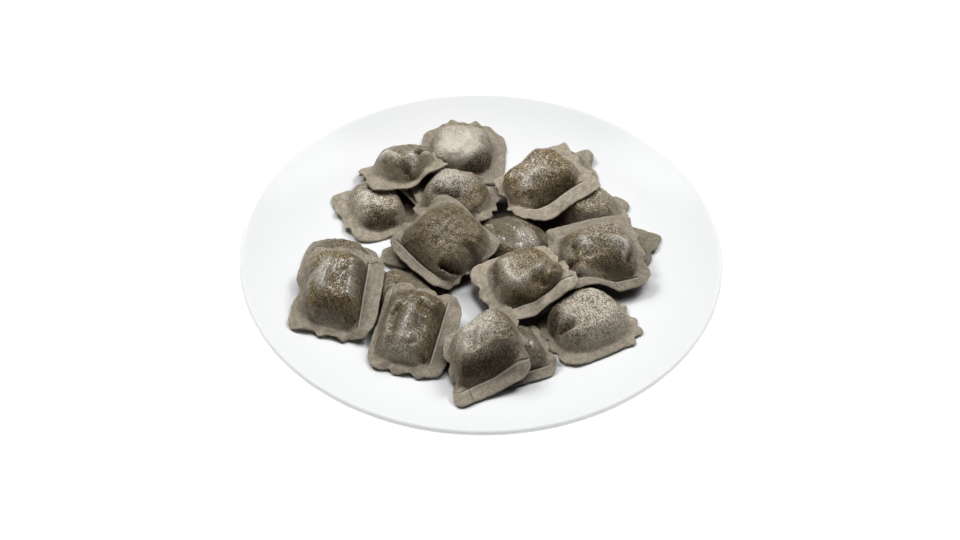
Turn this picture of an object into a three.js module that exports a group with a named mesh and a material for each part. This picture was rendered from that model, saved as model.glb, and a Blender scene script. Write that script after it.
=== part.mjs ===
// Squid-ink ravioli heaped on a shallow white plate.
// Millimetres, +Z up. The plate stands with its foot ring on Z = 0 and its middle on the Z axis.
// Each raviolo is one closed solid: a sheet with a filled dome, two straight sides that were
// pressed flat with a strip, and two sides left with a ragged edge. They are laid one after
// another, and each is bent just enough to lie on the plate and on those laid before it.

import * as THREE from 'three';

// ---- Driving dimensions ----

const plate = {
  radius: 135, // to the outside of the lip
  height: 22, // to the top of the lip
  wellRadius: 70, // the flat middle
  floor: 5, // top of the flat middle
  wall: 3.6,
  footRadius: 52, // outside of the foot ring
  footWidth: 6,
  footHeight: 1.4,
  segments: 48,
  wallSteps: 4,
  lipSteps: 3,
};

const pasta = {
  sheet: 1.6, // the two sheets pressed together
  strip: 5, // flat band along the straight side at -Y
  hem: 4.5, // flat band along the straight side at +Y
  ragged: 5.5, // flat band along a ragged side
  dome: 13, // height of the filling above the sheet
  belly: 1.2, // bulge of the filling below it
  outlinePower: 5, // 2 is an ellipse, large is a rectangle
  domePower: 3, // the same for the foot of the dome
  creasePower: 7, // and where it ends in a crease
  front: 3.6, // the larger, the steeper the dome ends in a crease
  side: 4.6, // and the steeper it ends elsewhere
  skirt: 2.2, // how far the dome runs out over the flat band elsewhere
  shoulder: 0.7, // rounding between the dome and a flat on it
  edgeDepth: 1.5, // how far a ragged edge swings in and out
  edgePitch: 11,
  wave: 1.4, // rise and fall of the flat band
  droop: 1.2, // fall of its edge
  lump: 0.9, // uneven filling
};

// Clearance above and beside what a piece touches, and how widely a bend is spread.
const contact = { gap: 0.35, reach: 1, spread: 4, passes: 6 };

// Square grid of heights over the plate, one cell for each millimetre.
const grid = { reach: 140, size: 281 };

// Points along a ragged and a straight side, and the rings of the top and the underside.
// A ring from 0 to 1 crosses the dome, and one from 1 to 2 crosses the flat band.
const fine = { raggedPoints: 11, straightPoints: 7 };
const plain = { raggedPoints: 7, straightPoints: 6 };
const topRings = [0.45, 0.72, 0.9, 1, 1.35, 2];
const undersideRings = [2, 1, 0.5];

// The ravioli in the order in which they are laid.
// at: middle of the sheet. turn, tip: degrees about Z, then about X and Y. size: across X and Y.
// An entry named as in pasta is the raviolo's own, and square is its own outlinePower.
// off: dome off the middle. peak: top off the dome's middle.
// slant: shear of the outline. curl: lift of the four corners, anticlockwise from -X -Y.
// creases: how far the -Y and +Y sides of the dome end in a crease, from 0 to 1.
// pulls: headings in degrees where the outline is pulled out, how far, and over what angle.
// flats: planes that cap the dome and fall away from a shoulder. The shoulder's place and the
// heading are on the plate's axes, the level is a share of the dome, and drop is the slope.
// dents: hollows pressed in the dome, on the raviolo's own axes as the rest.
const ravioli = [
  {
    name: 'raviolo_left_back', mesh: fine,
    at: [-60, 45, 8], turn: 26, tip: [0, 3],
    size: [44, 42], square: 3.4, ragged: 9, off: [0.5, 2], peak: [1, -1], side: 6,
    creases: [0, 0], seed: 3,
    pulls: [{ heading: 140, out: 3, width: 16 }],
  },
  {
    name: 'raviolo_back_low', mesh: plain,
    at: [-27, 61, 9], turn: -45, tip: [0, 0],
    size: [36, 30], dome: 6, curl: [5, 3, 0, 2], seed: 21,
  },
  {
    name: 'raviolo_far', mesh: fine,
    at: [-11, 93, 11], turn: 88, tip: [11, 1],
    size: [43, 50], square: 4, strip: 10, hem: 7.5, ragged: 7, off: [-1, 0], peak: [2, 2],
    side: 6.5, creases: [0, 0], seed: 1,
    pulls: [
      { heading: -47, out: -3, width: 12 },
      { heading: 47, out: -4, width: 12 },
      { heading: -135, out: 3, width: 14 },
    ],
  },
  {
    name: 'raviolo_far_right', mesh: plain,
    at: [45, 72, 9], turn: 10, tip: [4, -3],
    size: [44, 36], seed: 7,
    pulls: [{ heading: 38, out: 3, width: 9 }],
  },
  {
    name: 'raviolo_right_low', mesh: plain,
    at: [77, 13, 9], turn: -27, tip: [0, -5],
    size: [39, 44], square: 4, strip: 8, hem: 8, off: [1, -5], peak: [0, -3], dome: 12, seed: 10,
    pulls: [{ heading: 47, out: 2.5, width: 8 }],
  },
  {
    name: 'raviolo_right_back', mesh: plain,
    at: [62, 44, 9], turn: -20, tip: [1, -4],
    size: [42, 34], creases: [0, 0], seed: 8,
  },
  {
    name: 'raviolo_right_front', mesh: fine,
    at: [59.5, -47, 8], turn: 26, tip: [-2, -4],
    size: [50, 45], strip: 6, hem: 3.5, off: [0, 2], dome: 14, side: 6.5, creases: [0, 0],
    seed: 19,
    pulls: [{ heading: -45, out: -3, width: 6 }, { heading: -56, out: 1.5, width: 5 }],
    dents: [
      { at: [-11.5, -5.5], reach: [7, 3], along: -33, depth: 4 },
      { at: [19, 0], reach: [2, 4], along: 0, depth: 3 },
    ],
  },
  {
    name: 'raviolo_front_low', mesh: plain,
    at: [17.5, -68, 8], turn: 22, tip: [-3, 2],
    size: [41, 42], strip: 7, seed: 18,
  },
  {
    name: 'raviolo_left_low', mesh: plain,
    at: [-80, -4, 9], turn: 80, tip: [0, 6],
    size: [46, 42], square: 4, creases: [0, 0], seed: 14,
  },
  {
    name: 'raviolo_middle_left', mesh: plain,
    at: [-42, -23, 8], turn: 6, tip: [0, 0],
    size: [42, 40], dome: 11.5, seed: 16,
  },
  {
    name: 'raviolo_middle_low', mesh: plain,
    at: [-29, 20, 8], turn: -8, tip: [0, 0],
    size: [42, 44], square: 4, slant: 9, dome: 9, creases: [0, 0], seed: 20,
  },
  {
    name: 'raviolo_middle_right', mesh: plain,
    at: [16, 17, 8], turn: -8, tip: [0, 0],
    size: [50, 44], dome: 12, creases: [0, 0], seed: 11,
  },
  {
    name: 'raviolo_left_front', mesh: fine,
    at: [-35.5, -56.5, 13.5], turn: 76, tip: [15, -1],
    size: [56, 44], strip: 9.5, hem: 4, ragged: 7, off: [1.5, 0], side: 5.5, creases: [1, 0.5],
    seed: 15,
  },
  {
    name: 'raviolo_back_upper', mesh: fine,
    at: [-14, 44, 17.5], turn: -10, tip: [-2, 4],
    size: [46, 40], off: [-1, 1], side: 5.5, creases: [0.4, 0], seed: 4,
    pulls: [{ heading: 140, out: 5, width: 12 }],
    flats: [{ from: [0, -3], towards: -100, level: 0.9, drop: 0.8 }],
  },
  {
    name: 'raviolo_back_left_upper', mesh: fine,
    at: [-46, 67, 16.5], turn: 18, tip: [-15, -1],
    size: [48, 36], strip: 5.5, hem: 3, ragged: 7.5, off: [1.5, 0], dome: 14.5, side: 5.5,
    creases: [0, 0], seed: 2,
    pulls: [{ heading: 37, out: -6, width: 16 }],
    dents: [
      { at: [-8, -9.5], reach: [5, 3], along: -62, depth: 3.5 },
      { at: [5.5, -9], reach: [5, 2.5], along: 0, depth: 3 },
    ],
  },
  {
    name: 'raviolo_middle_upper', mesh: fine,
    at: [-21.5, 7.5, 19], turn: -50, tip: [15, -2],
    size: [48, 48], strip: 5, hem: 3, ragged: 3.8, off: [1, 1], front: 2.8, seed: 5,
    pulls: [{ heading: -45, out: 3, width: 14 }, { heading: 45, out: 3, width: 12 }],
    dents: [{ at: [17.5, -10], reach: [7, 3], along: 40, depth: 4 }],
  },
  {
    name: 'raviolo_right_back_upper', mesh: fine,
    at: [37, 55.5, 20], turn: 30, tip: [2, -7],
    size: [50, 46], square: 8, strip: 8, hem: 7, ragged: 5.5, off: [-3.5, 1], dome: 12.8,
    front: 2.8, side: 7, seed: 6,
    pulls: [{ heading: 42, out: 2.5, width: 12 }, { heading: -135, out: 2, width: 14 }],
    flats: [{ from: [4, -3], towards: -70, level: 0.98, drop: 0.85 }],
  },
  {
    name: 'raviolo_right_upper', mesh: fine,
    at: [65, -1.5, 19.5], turn: 14, tip: [12, -2],
    size: [50, 50], square: 8, strip: 6.5, hem: 8, ragged: 7, off: [0, -1], dome: 14,
    side: 6.5, creases: [1, 0.5], seed: 9,
    pulls: [{ heading: -130, out: 3, width: 12 }],
    flats: [{ from: [0, -10], towards: -78, level: 0.9, drop: 1.2 }],
    dents: [
      { at: [-21, -5.5], reach: [5, 3], along: -20, depth: 3.5 },
      { at: [15, -10], reach: [4, 2.5], along: 55, depth: 3 },
    ],
  },
  {
    name: 'raviolo_left_upper', mesh: fine,
    at: [-78.5, -31.5, 18], turn: 83, tip: [14, -3],
    size: [55, 48], strip: 8, hem: 6, ragged: 6.2, off: [0.5, 0], dome: 16, seed: 13,
    pulls: [
      { heading: 142, out: 3.5, width: 9 },
      { heading: 88, out: -2.5, width: 12 },
      { heading: 45, out: -2, width: 12 },
    ],
    flats: [{ from: [0, -11], towards: -97, level: 0.95, drop: 1.1 }],
  },
  {
    name: 'raviolo_top', mesh: fine,
    at: [23.5, -23, 19], turn: 26, tip: [7, 3],
    size: [50, 44], square: 8, strip: 8, hem: 4, ragged: 7.5, off: [1.5, 0], side: 5.5, seed: 12,
    dents: [{ at: [6, -9], reach: [6, 4.5], along: -44, depth: 4 }],
  },
  {
    name: 'raviolo_front_upper', mesh: fine,
    at: [3, -76, 17.5], turn: 27, tip: [10, -6],
    size: [43, 45], square: 8, strip: 8, hem: 3, ragged: 3.6, slant: 5, dome: 13.9, front: 2.6,
    side: 6.5, seed: 17,
    pulls: [{ heading: -137, out: 5, width: 13 }, { heading: 45, out: 2, width: 10 }],
    flats: [{ from: [1, -6], towards: -74, level: 0.98, drop: 1.05 }],
  },
];

// ---- Materials ----

function standard(color, roughness) {
  return new THREE.MeshStandardMaterial({ color, roughness, metalness: 0 });
}

// ---- Plate ----

function plateTop(radius) {
  const rise = plate.height - plate.floor;
  const along = Math.max(0, radius - plate.wellRadius) / (plate.radius - plate.wellRadius);
  return plate.floor + rise * along ** 2;
}

function plateProfile() {
  const foot = plate.footRadius;
  const points = [
    [0, plate.footHeight],
    [foot - plate.footWidth - plate.footHeight, plate.footHeight],
    [foot - plate.footWidth, 0],
    [foot, 0],
    [foot + plate.footHeight, plate.footHeight],
  ];
  const lip = plate.wall / 2;
  const innerEdge = plate.radius - lip;
  for (let step = 0; step < plate.wallSteps; step += 1) {
    const along = step / plate.wallSteps;
    const radius = THREE.MathUtils.lerp(plate.wellRadius, innerEdge, along);
    points.push([radius, plateTop(radius) - plate.wall]);
  }
  const lipHeight = plate.height - lip;
  for (let step = 0; step <= plate.lipSteps; step += 1) {
    const angle = Math.PI * (step / plate.lipSteps - 0.5);
    points.push([innerEdge + lip * Math.cos(angle), lipHeight + lip * Math.sin(angle)]);
  }
  for (let step = plate.wallSteps - 1; step >= 0; step -= 1) {
    const along = step / plate.wallSteps;
    const radius = THREE.MathUtils.lerp(plate.wellRadius, innerEdge, along);
    points.push([radius, plateTop(radius)]);
  }
  points.push([0, plate.floor]);
  return points.map(([radius, height]) => new THREE.Vector2(radius, height));
}

function makePlate() {
  const turned = new THREE.LatheGeometry(plateProfile(), plate.segments);
  turned.rotateX(Math.PI / 2); // the lathe turns about Y
  const mesh = new THREE.Mesh(turned, standard(0xf4f4f2, 0.15));
  mesh.name = 'plate';
  return mesh;
}

// ---- Shape of one raviolo, lying flat at the origin ----

// The same draw for the same seed and use, spread over a full turn.
function phase(seed, use) {
  const draw = seed * 0.618034 + use * 0.754878;
  return 2 * Math.PI * (draw - Math.floor(draw));
}

// Distance from the middle to a rounded rectangle, in the direction of the angle.
function roundedReach(halfX, halfY, power, angle) {
  const acrossX = Math.abs(Math.cos(angle) / halfX) ** power;
  const acrossY = Math.abs(Math.sin(angle) / halfY) ** power;
  return (acrossX + acrossY) ** (-1 / power);
}

function withDefaults(piece) {
  return {
    strip: pasta.strip,
    hem: pasta.hem,
    ragged: pasta.ragged,
    dome: pasta.dome,
    front: pasta.front,
    side: pasta.side,
    square: pasta.outlinePower,
    off: [0, 0],
    peak: [0, 0],
    slant: 0,
    curl: [0, 0, 0, 0],
    creases: [1, 0],
    pulls: [],
    flats: [],
    dents: [],
    ...piece,
  };
}

// Directions to the points of the outline, evenly spaced along each side.
function outlineAngles(piece) {
  const halfX = piece.size[0] / 2;
  const halfY = piece.size[1] / 2;
  const { raggedPoints, straightPoints } = piece.mesh;
  const angles = [];
  for (const side of [1, -1]) {
    for (let k = 0; k < raggedPoints; k += 1) {
      const y = halfY * ((2 * k + 1) / raggedPoints - 1);
      angles.push(Math.atan2(side * y, side * halfX));
    }
    for (let k = 0; k < straightPoints; k += 1) {
      const x = halfX * (1 - (2 * k + 1) / straightPoints);
      angles.push(Math.atan2(side * halfY, side * x));
    }
  }
  return angles;
}

function outlineReach(piece, angle) {
  const halfX = piece.size[0] / 2;
  const halfY = piece.size[1] / 2;
  const reach = roundedReach(halfX, halfY, piece.square, angle);
  const x = reach * Math.cos(angle);
  const y = reach * Math.sin(angle);
  const side = x > 0 ? 1 : 2;
  const pitch = pasta.edgePitch + phase(piece.seed, 3) / Math.PI;
  const swing = 0.72 * Math.sin((2 * Math.PI * y) / pitch + phase(piece.seed, 3 + side))
    + 0.28 * Math.sin((3.7 * Math.PI * y) / pitch + phase(piece.seed, 5 + side));
  const onRagged = Math.abs(x / halfX) ** 6;
  let pulled = reach + pasta.edgeDepth * swing * onRagged * Math.abs(Math.cos(angle));
  for (const { heading, out, width } of piece.pulls) {
    const turned = angle - THREE.MathUtils.degToRad(heading);
    const apart = Math.atan2(Math.sin(turned), Math.cos(turned));
    pulled += out * Math.exp(-((apart / THREE.MathUtils.degToRad(width)) ** 2));
  }
  return pulled;
}

// Half the width and half the depth of the dome towards the angle, and how creased that side is.
function footHalves(piece, angle) {
  const near = Math.sin(angle) < 0;
  return {
    halfX: piece.size[0] / 2 - piece.ragged,
    halfY: piece.size[1] / 2 - (near ? piece.strip : piece.hem),
    creased: near ? piece.creases[0] : piece.creases[1],
  };
}

function footReach(piece, angle) {
  const { halfX, halfY, creased } = footHalves(piece, angle);
  const power = THREE.MathUtils.lerp(pasta.domePower, pasta.creasePower, creased);
  return roundedReach(halfX, halfY, power, angle);
}

// Towards a creased side the dome ends in a crisp crease, elsewhere it runs out over the band.
function domeHeight(piece, angle, reach) {
  const { halfY, creased } = footHalves(piece, angle);
  const foot = footReach(piece, angle);
  const towards = (foot * Math.abs(Math.sin(angle))) / halfY;
  const share = creased * THREE.MathUtils.smoothstep(towards, 0.3, 0.85);
  const crisp = (1 - Math.min(reach / foot, 1) ** piece.front) ** 0.9;
  const faded = (1 - Math.min(reach / (foot + pasta.skirt), 1) ** piece.side) ** 1.15;
  return piece.dome * (share * crisp + (1 - share) * faded);
}

// The filling stops under each of the flats.
function flattened(piece, filling, x, y) {
  let height = filling;
  for (const flat of piece.flats) {
    const heading = THREE.MathUtils.degToRad(flat.towards - piece.turn);
    const shoulder = new THREE.Vector2(...flat.from)
      .rotateAround(new THREE.Vector2(), THREE.MathUtils.degToRad(-piece.turn));
    const ahead = (x - shoulder.x) * Math.cos(heading) + (y - shoulder.y) * Math.sin(heading);
    const plane = Math.max(flat.level * piece.dome - flat.drop * ahead, 0.4);
    const soft = pasta.shoulder;
    const joined = -soft * Math.log(Math.exp(-height / soft) + Math.exp(-plane / soft));
    height = Math.min(height, joined + 0.2);
  }
  return height;
}

function lumps(piece, x, y) {
  const broad = Math.sin(x / 5.5 + phase(piece.seed, 11)) * Math.sin(y / 6.1 + phase(piece.seed, 12));
  const small = Math.sin(x / 3.1 + y / 3.7 + phase(piece.seed, 13));
  return pasta.lump * (broad + 0.55 * small);
}

function dentDepth(dent, x, y) {
  const angle = THREE.MathUtils.degToRad(dent.along);
  const fromX = x - dent.at[0];
  const fromY = y - dent.at[1];
  const lengthwise = (fromX * Math.cos(angle) + fromY * Math.sin(angle)) / dent.reach[0];
  const across = (fromY * Math.cos(angle) - fromX * Math.sin(angle)) / dent.reach[1];
  return dent.depth * Math.exp(-(lengthwise ** 2) - across ** 2);
}

// Bend of the flat band, and lift of the four corners.
function sheetHeight(piece, angle, x, y) {
  const foot = footReach(piece, angle);
  const edge = outlineReach(piece, angle);
  const inner = 0.55 * foot;
  const outward = THREE.MathUtils.clamp((Math.hypot(x, y) - inner) / (edge - inner), 0, 1);
  const ripple = 0.6 * Math.sin(3 * angle + phase(piece.seed, 21))
    + 0.4 * Math.sin(5 * angle + phase(piece.seed, 22));
  let height = pasta.wave * outward ** 1.5 * ripple - pasta.droop * outward ** 2;
  const corners = [[-1, -1], [1, -1], [1, 1], [-1, 1]];
  corners.forEach(([signX, signY], index) => {
    const towards = (signX * x) / piece.size[0] + (signY * y) / piece.size[1];
    const near = THREE.MathUtils.clamp((towards - 0.35) / 0.65, 0, 1);
    height += piece.curl[index] * near ** 1.6;
  });
  return height;
}

// A point of the top (side 1) or the underside (side -1), on the ring from 0 to 2.
function surfacePoint(piece, angle, ring, side) {
  const along = Math.min(ring, 1);
  const band = Math.max(ring - 1, 0);
  const foot = footReach(piece, angle);
  const reach = foot * along + (outlineReach(piece, angle) - foot) * band;
  const towardsPeak = 1 - along ** 1.5;
  const x = reach * Math.cos(angle) + piece.peak[0] * towardsPeak + piece.off[0] * (1 - band);
  const y = reach * Math.sin(angle) + piece.peak[1] * towardsPeak + piece.off[1] * (1 - band);
  let height = sheetHeight(piece, angle, x, y);
  if (side > 0) {
    let filling = flattened(piece, domeHeight(piece, angle, reach), x, y);
    filling += lumps(piece, x, y) * Math.min((1.6 * filling) / piece.dome, 1);
    for (const dent of piece.dents) filling -= dentDepth(dent, x, y);
    height += pasta.sheet / 2 + Math.max(filling, 0);
  } else {
    height -= pasta.sheet / 2 + pasta.belly * (1 - along ** 2);
  }
  return new THREE.Vector3(x + (piece.slant * y) / (piece.size[1] / 2), y, height);
}

function flatRaviolo(piece) {
  const angles = outlineAngles(piece);
  const points = [surfacePoint(piece, 0, 0, 1)];
  for (const ring of topRings) {
    for (const angle of angles) points.push(surfacePoint(piece, angle, ring, 1));
  }
  for (const ring of undersideRings) {
    for (const angle of angles) points.push(surfacePoint(piece, angle, ring, -1));
  }
  points.push(surfacePoint(piece, 0, 0, -1));
  return { points, triangles: ringTriangles(angles.length, topRings.length + undersideRings.length) };
}

// Triangles between a first point, rings of equal length, and a last point.
function ringTriangles(count, rings) {
  const triangles = [];
  const last = 1 + count * rings;
  for (let k = 0; k < count; k += 1) {
    const next = (k + 1) % count;
    triangles.push([0, 1 + k, 1 + next]);
    for (let ring = 1; ring < rings; ring += 1) {
      const inner = 1 + (ring - 1) * count;
      const outer = inner + count;
      triangles.push([inner + k, outer + k, outer + next]);
      triangles.push([inner + k, outer + next, inner + next]);
    }
    triangles.push([last, last - count + next, last - count + k]);
  }
  return triangles;
}

function layInPlace(piece, points) {
  const turn = THREE.MathUtils.degToRad(piece.turn);
  const [tipX, tipY] = piece.tip.map(THREE.MathUtils.degToRad);
  const place = new THREE.Matrix4().makeTranslation(...piece.at)
    .multiply(new THREE.Matrix4().makeRotationY(tipY))
    .multiply(new THREE.Matrix4().makeRotationX(tipX))
    .multiply(new THREE.Matrix4().makeRotationZ(turn));
  for (const point of points) point.applyMatrix4(place);
}

// ---- Laying a raviolo on what is below it ----

function cellIndex(column, row) {
  return row * grid.size + column;
}

function emptyGrid(value) {
  return new Float64Array(grid.size * grid.size).fill(value);
}

function pointsAndTriangles(geometry) {
  const position = geometry.getAttribute('position');
  const points = [];
  for (let k = 0; k < position.count; k += 1) {
    points.push(new THREE.Vector3().fromBufferAttribute(position, k));
  }
  const index = Array.from(geometry.getIndex().array);
  const triangles = [];
  for (let k = 0; k < index.length; k += 3) triangles.push(index.slice(k, k + 3));
  return { points, triangles };
}

// Calls visit(cell, height) for each grid point under or over a triangle.
function forEachCell([a, b, c], visit) {
  const area = (b.x - a.x) * (c.y - a.y) - (c.x - a.x) * (b.y - a.y);
  if (Math.abs(area) < 1e-9) return;
  const firstColumn = Math.ceil(Math.min(a.x, b.x, c.x) + grid.reach);
  const lastColumn = Math.floor(Math.max(a.x, b.x, c.x) + grid.reach);
  const firstRow = Math.ceil(Math.min(a.y, b.y, c.y) + grid.reach);
  const lastRow = Math.floor(Math.max(a.y, b.y, c.y) + grid.reach);
  for (let row = firstRow; row <= lastRow; row += 1) {
    for (let column = firstColumn; column <= lastColumn; column += 1) {
      const x = column - grid.reach - a.x;
      const y = row - grid.reach - a.y;
      const towardsB = (x * (c.y - a.y) - (c.x - a.x) * y) / area;
      const towardsC = ((b.x - a.x) * y - x * (b.y - a.y)) / area;
      if (towardsB < -1e-6 || towardsC < -1e-6 || towardsB + towardsC > 1 + 1e-6) continue;
      visit(cellIndex(column, row), a.z + towardsB * (b.z - a.z) + towardsC * (c.z - a.z));
    }
  }
}

function underside({ points, triangles }) {
  const lowest = emptyGrid(Infinity);
  for (const triangle of triangles) {
    forEachCell(triangle.map((index) => points[index]), (cell, height) => {
      lowest[cell] = Math.min(lowest[cell], height);
    });
  }
  return lowest;
}

// Runs combine over a square window of each cell, first along rows and then along columns.
function windowed(values, reach, combine) {
  let current = values;
  for (const stride of [1, grid.size]) {
    const result = emptyGrid(0);
    for (let row = 0; row < grid.size; row += 1) {
      for (let column = 0; column < grid.size; column += 1) {
        const position = stride === 1 ? column : row;
        const from = Math.max(-reach, -position);
        const to = Math.min(reach, grid.size - 1 - position);
        const cell = cellIndex(column, row);
        result[cell] = combine(current, cell, from, to, stride);
      }
    }
    current = result;
  }
  return current;
}

function largest(values, cell, from, to, stride) {
  let most = 0;
  for (let step = from; step <= to; step += 1) most = Math.max(most, values[cell + step * stride]);
  return most;
}

function average(values, cell, from, to, stride) {
  let sum = 0;
  for (let step = from; step <= to; step += 1) sum += values[cell + step * stride];
  return sum / (to - from + 1);
}

function sampleGrid(values, x, y) {
  const column = Math.floor(x + grid.reach);
  const row = Math.floor(y + grid.reach);
  const shareX = x + grid.reach - column;
  const shareY = y + grid.reach - row;
  const near = THREE.MathUtils.lerp(
    values[cellIndex(column, row)], values[cellIndex(column + 1, row)], shareX);
  const far = THREE.MathUtils.lerp(
    values[cellIndex(column, row + 1)], values[cellIndex(column + 1, row + 1)], shareX);
  return THREE.MathUtils.lerp(near, far, shareY);
}

// Lifts the piece, smoothly and straight up, where it would sink into what lies below it.
function bendOver(solid, heights) {
  const below = windowed(heights, contact.reach, largest);
  for (let pass = 0; pass < contact.passes; pass += 1) {
    const lowest = underside(solid);
    const sunk = lowest.map((low, cell) => (
      Number.isFinite(low) ? Math.max(0, below[cell] + contact.gap - low) : 0));
    const peaks = windowed(sunk, contact.spread, largest);
    const half = contact.spread / 2;
    const lift = windowed(windowed(peaks, half, average), half, average);
    for (const point of solid.points) point.z += sampleGrid(lift, point.x, point.y);
  }
}

function coverGrid({ points, triangles }, heights) {
  for (const triangle of triangles) {
    forEachCell(triangle.map((index) => points[index]), (cell, height) => {
      heights[cell] = Math.max(heights[cell], height);
    });
  }
}

// ---- One raviolo as a mesh ----

function makeRaviolo(piece, heights) {
  const solid = flatRaviolo(piece);
  layInPlace(piece, solid.points);
  bendOver(solid, heights);
  coverGrid(solid, heights);
  const geometry = new THREE.BufferGeometry().setFromPoints(solid.points);
  geometry.setIndex(solid.triangles.flat());
  geometry.computeVertexNormals();
  const mesh = new THREE.Mesh(geometry, standard(0x7d7262, 0.5));
  mesh.name = piece.name;
  return mesh;
}

// ---- The whole ----

const group = new THREE.Group();
const plateMesh = makePlate();
group.add(plateMesh);

const heights = emptyGrid(0);
coverGrid(pointsAndTriangles(plateMesh.geometry), heights);
for (const piece of ravioli) group.add(makeRaviolo(withDefaults(piece), heights));

export default group;
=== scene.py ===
import math

import bpy
import numpy as np
from mathutils import Matrix, Vector


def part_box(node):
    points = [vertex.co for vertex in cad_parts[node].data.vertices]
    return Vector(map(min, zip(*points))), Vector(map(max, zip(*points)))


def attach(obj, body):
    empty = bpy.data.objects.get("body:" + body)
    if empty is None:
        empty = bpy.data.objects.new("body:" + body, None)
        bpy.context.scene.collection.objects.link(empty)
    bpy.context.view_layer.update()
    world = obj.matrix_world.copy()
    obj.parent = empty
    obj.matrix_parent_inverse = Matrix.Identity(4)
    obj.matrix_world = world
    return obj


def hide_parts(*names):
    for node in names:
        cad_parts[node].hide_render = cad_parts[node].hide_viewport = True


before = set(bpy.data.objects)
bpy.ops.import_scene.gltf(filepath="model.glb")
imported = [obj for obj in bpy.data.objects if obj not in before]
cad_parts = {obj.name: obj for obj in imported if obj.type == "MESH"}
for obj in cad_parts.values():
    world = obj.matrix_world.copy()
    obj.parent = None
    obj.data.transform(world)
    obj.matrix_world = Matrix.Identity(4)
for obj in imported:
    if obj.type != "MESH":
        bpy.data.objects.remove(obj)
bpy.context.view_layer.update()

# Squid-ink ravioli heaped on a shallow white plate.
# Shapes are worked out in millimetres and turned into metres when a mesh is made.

scene = bpy.context.scene
mm = 0.001


# A socket that can stand in a sum. Every operator adds one Math node.
class Wire:
    def __init__(self, finish, socket):
        self.finish = finish
        self.socket = socket

    def maths(self, operation, *values):
        return self.finish.add("ShaderNodeMath", {"operation": operation}, dict(enumerate(values)))

    def __add__(self, other):
        return self.maths("ADD", self, other)

    def __sub__(self, other):
        return self.maths("SUBTRACT", self, other)

    def __rsub__(self, other):
        return self.maths("SUBTRACT", other, self)

    def __mul__(self, other):
        return self.maths("MULTIPLY", self, other)

    def __abs__(self):
        return self.maths("ABSOLUTE", self)

    __radd__ = __add__
    __rmul__ = __mul__


# One material, with short ways to add its nodes.
class Finish:
    def __init__(self, name):
        self.material = bpy.data.materials.new(name)
        self.material.use_nodes = True
        self.tree = self.material.node_tree
        self.tree.nodes.clear()

    # Settings first, then the value or link of each socket.
    def add(self, kind, settings=None, inputs=None, output=0):
        node = self.tree.nodes.new(kind)
        for key, value in (settings or {}).items():
            setattr(node, key, value)
        for key, value in (inputs or {}).items():
            if isinstance(value, Wire):
                self.tree.links.new(value.socket, node.inputs[key])
            else:
                node.inputs[key].default_value = value
        return Wire(self, node.outputs[output]) if len(node.outputs) else None

    def attribute(self, name, output="Fac"):
        return self.add("ShaderNodeAttribute", {"attribute_name": name}, output=output)

    def noise(self, place, scale, detail=2.0, roughness=0.5):
        return self.add("ShaderNodeTexNoise", None, {
            "Vector": place, "Scale": scale, "Detail": detail, "Roughness": roughness})

    # 0 below low, 1 above high, and smooth between them.
    def between(self, value, low, high):
        return self.add("ShaderNodeMapRange", {"interpolation_type": "SMOOTHSTEP"},
                        {"Value": value, "From Min": low, "From Max": high})

    def mixColour(self, share, first, second, blend="MIX"):
        return self.add("ShaderNodeMix", {"data_type": "RGBA", "blend_type": blend},
                        {0: share, 6: first, 7: second}, output=2)

    # depth is in millimetres. under is the bump that this one lies on.
    def bump(self, height, depth, under=None):
        inputs = {"Height": height, "Strength": 1.0, "Distance": depth * mm}
        if under is not None:
            inputs["Normal"] = under
        return self.add("ShaderNodeBump", None, inputs)

    def surface(self, inputs):
        shader = self.add("ShaderNodeBsdfPrincipled", None, inputs)
        self.add("ShaderNodeOutputMaterial", None, {"Surface": shader})
        return self.material


def shade(red, green, blue):
    return (red, green, blue, 1.0)


# One number or one vector for each point, which a material can read.
def storeLayer(mesh, layer, values):
    kind, field = ("FLOAT_VECTOR", "vector") if values.ndim == 2 else ("FLOAT", "value")
    mesh.attributes.new(layer, kind, "POINT").data.foreach_set(field, values.ravel())


def newObject(name, data):
    made = bpy.data.objects.new(name, data)
    scene.collection.objects.link(made)
    return made


# A mesh in the place of one node, riding on the one body.
def newPiece(name, points, faces, material, node, layers=None):
    mesh = bpy.data.meshes.new(name)
    mesh.from_pydata((points * mm).tolist(), [], faces)
    mesh.polygons.foreach_set("use_smooth", [True] * len(mesh.polygons))
    for layer, values in (layers or {}).items():
        storeLayer(mesh, layer, values)
    mesh.materials.append(material)
    mesh.update()
    piece = newObject(name, mesh)
    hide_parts(node)
    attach(piece, "root")
    return piece


# Faces between a first point, rings of equal length, and a last point.
def ringFaces(count, rings):
    faces = []
    last = 1 + count * rings
    for k in range(count):
        following = (k + 1) % count
        faces.append((0, 1 + k, 1 + following))
        for ring in range(1, rings):
            inner = 1 + (ring - 1) * count
            outer = inner + count
            faces.append((inner + k, outer + k, outer + following, inner + following))
        faces.append((last, last - count + following, last - count + k))
    return faces


def smoothStep(values, low, high):
    share = np.clip((values - low) / (high - low), 0, 1)
    return share * share * (3 - 2 * share)


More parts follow.
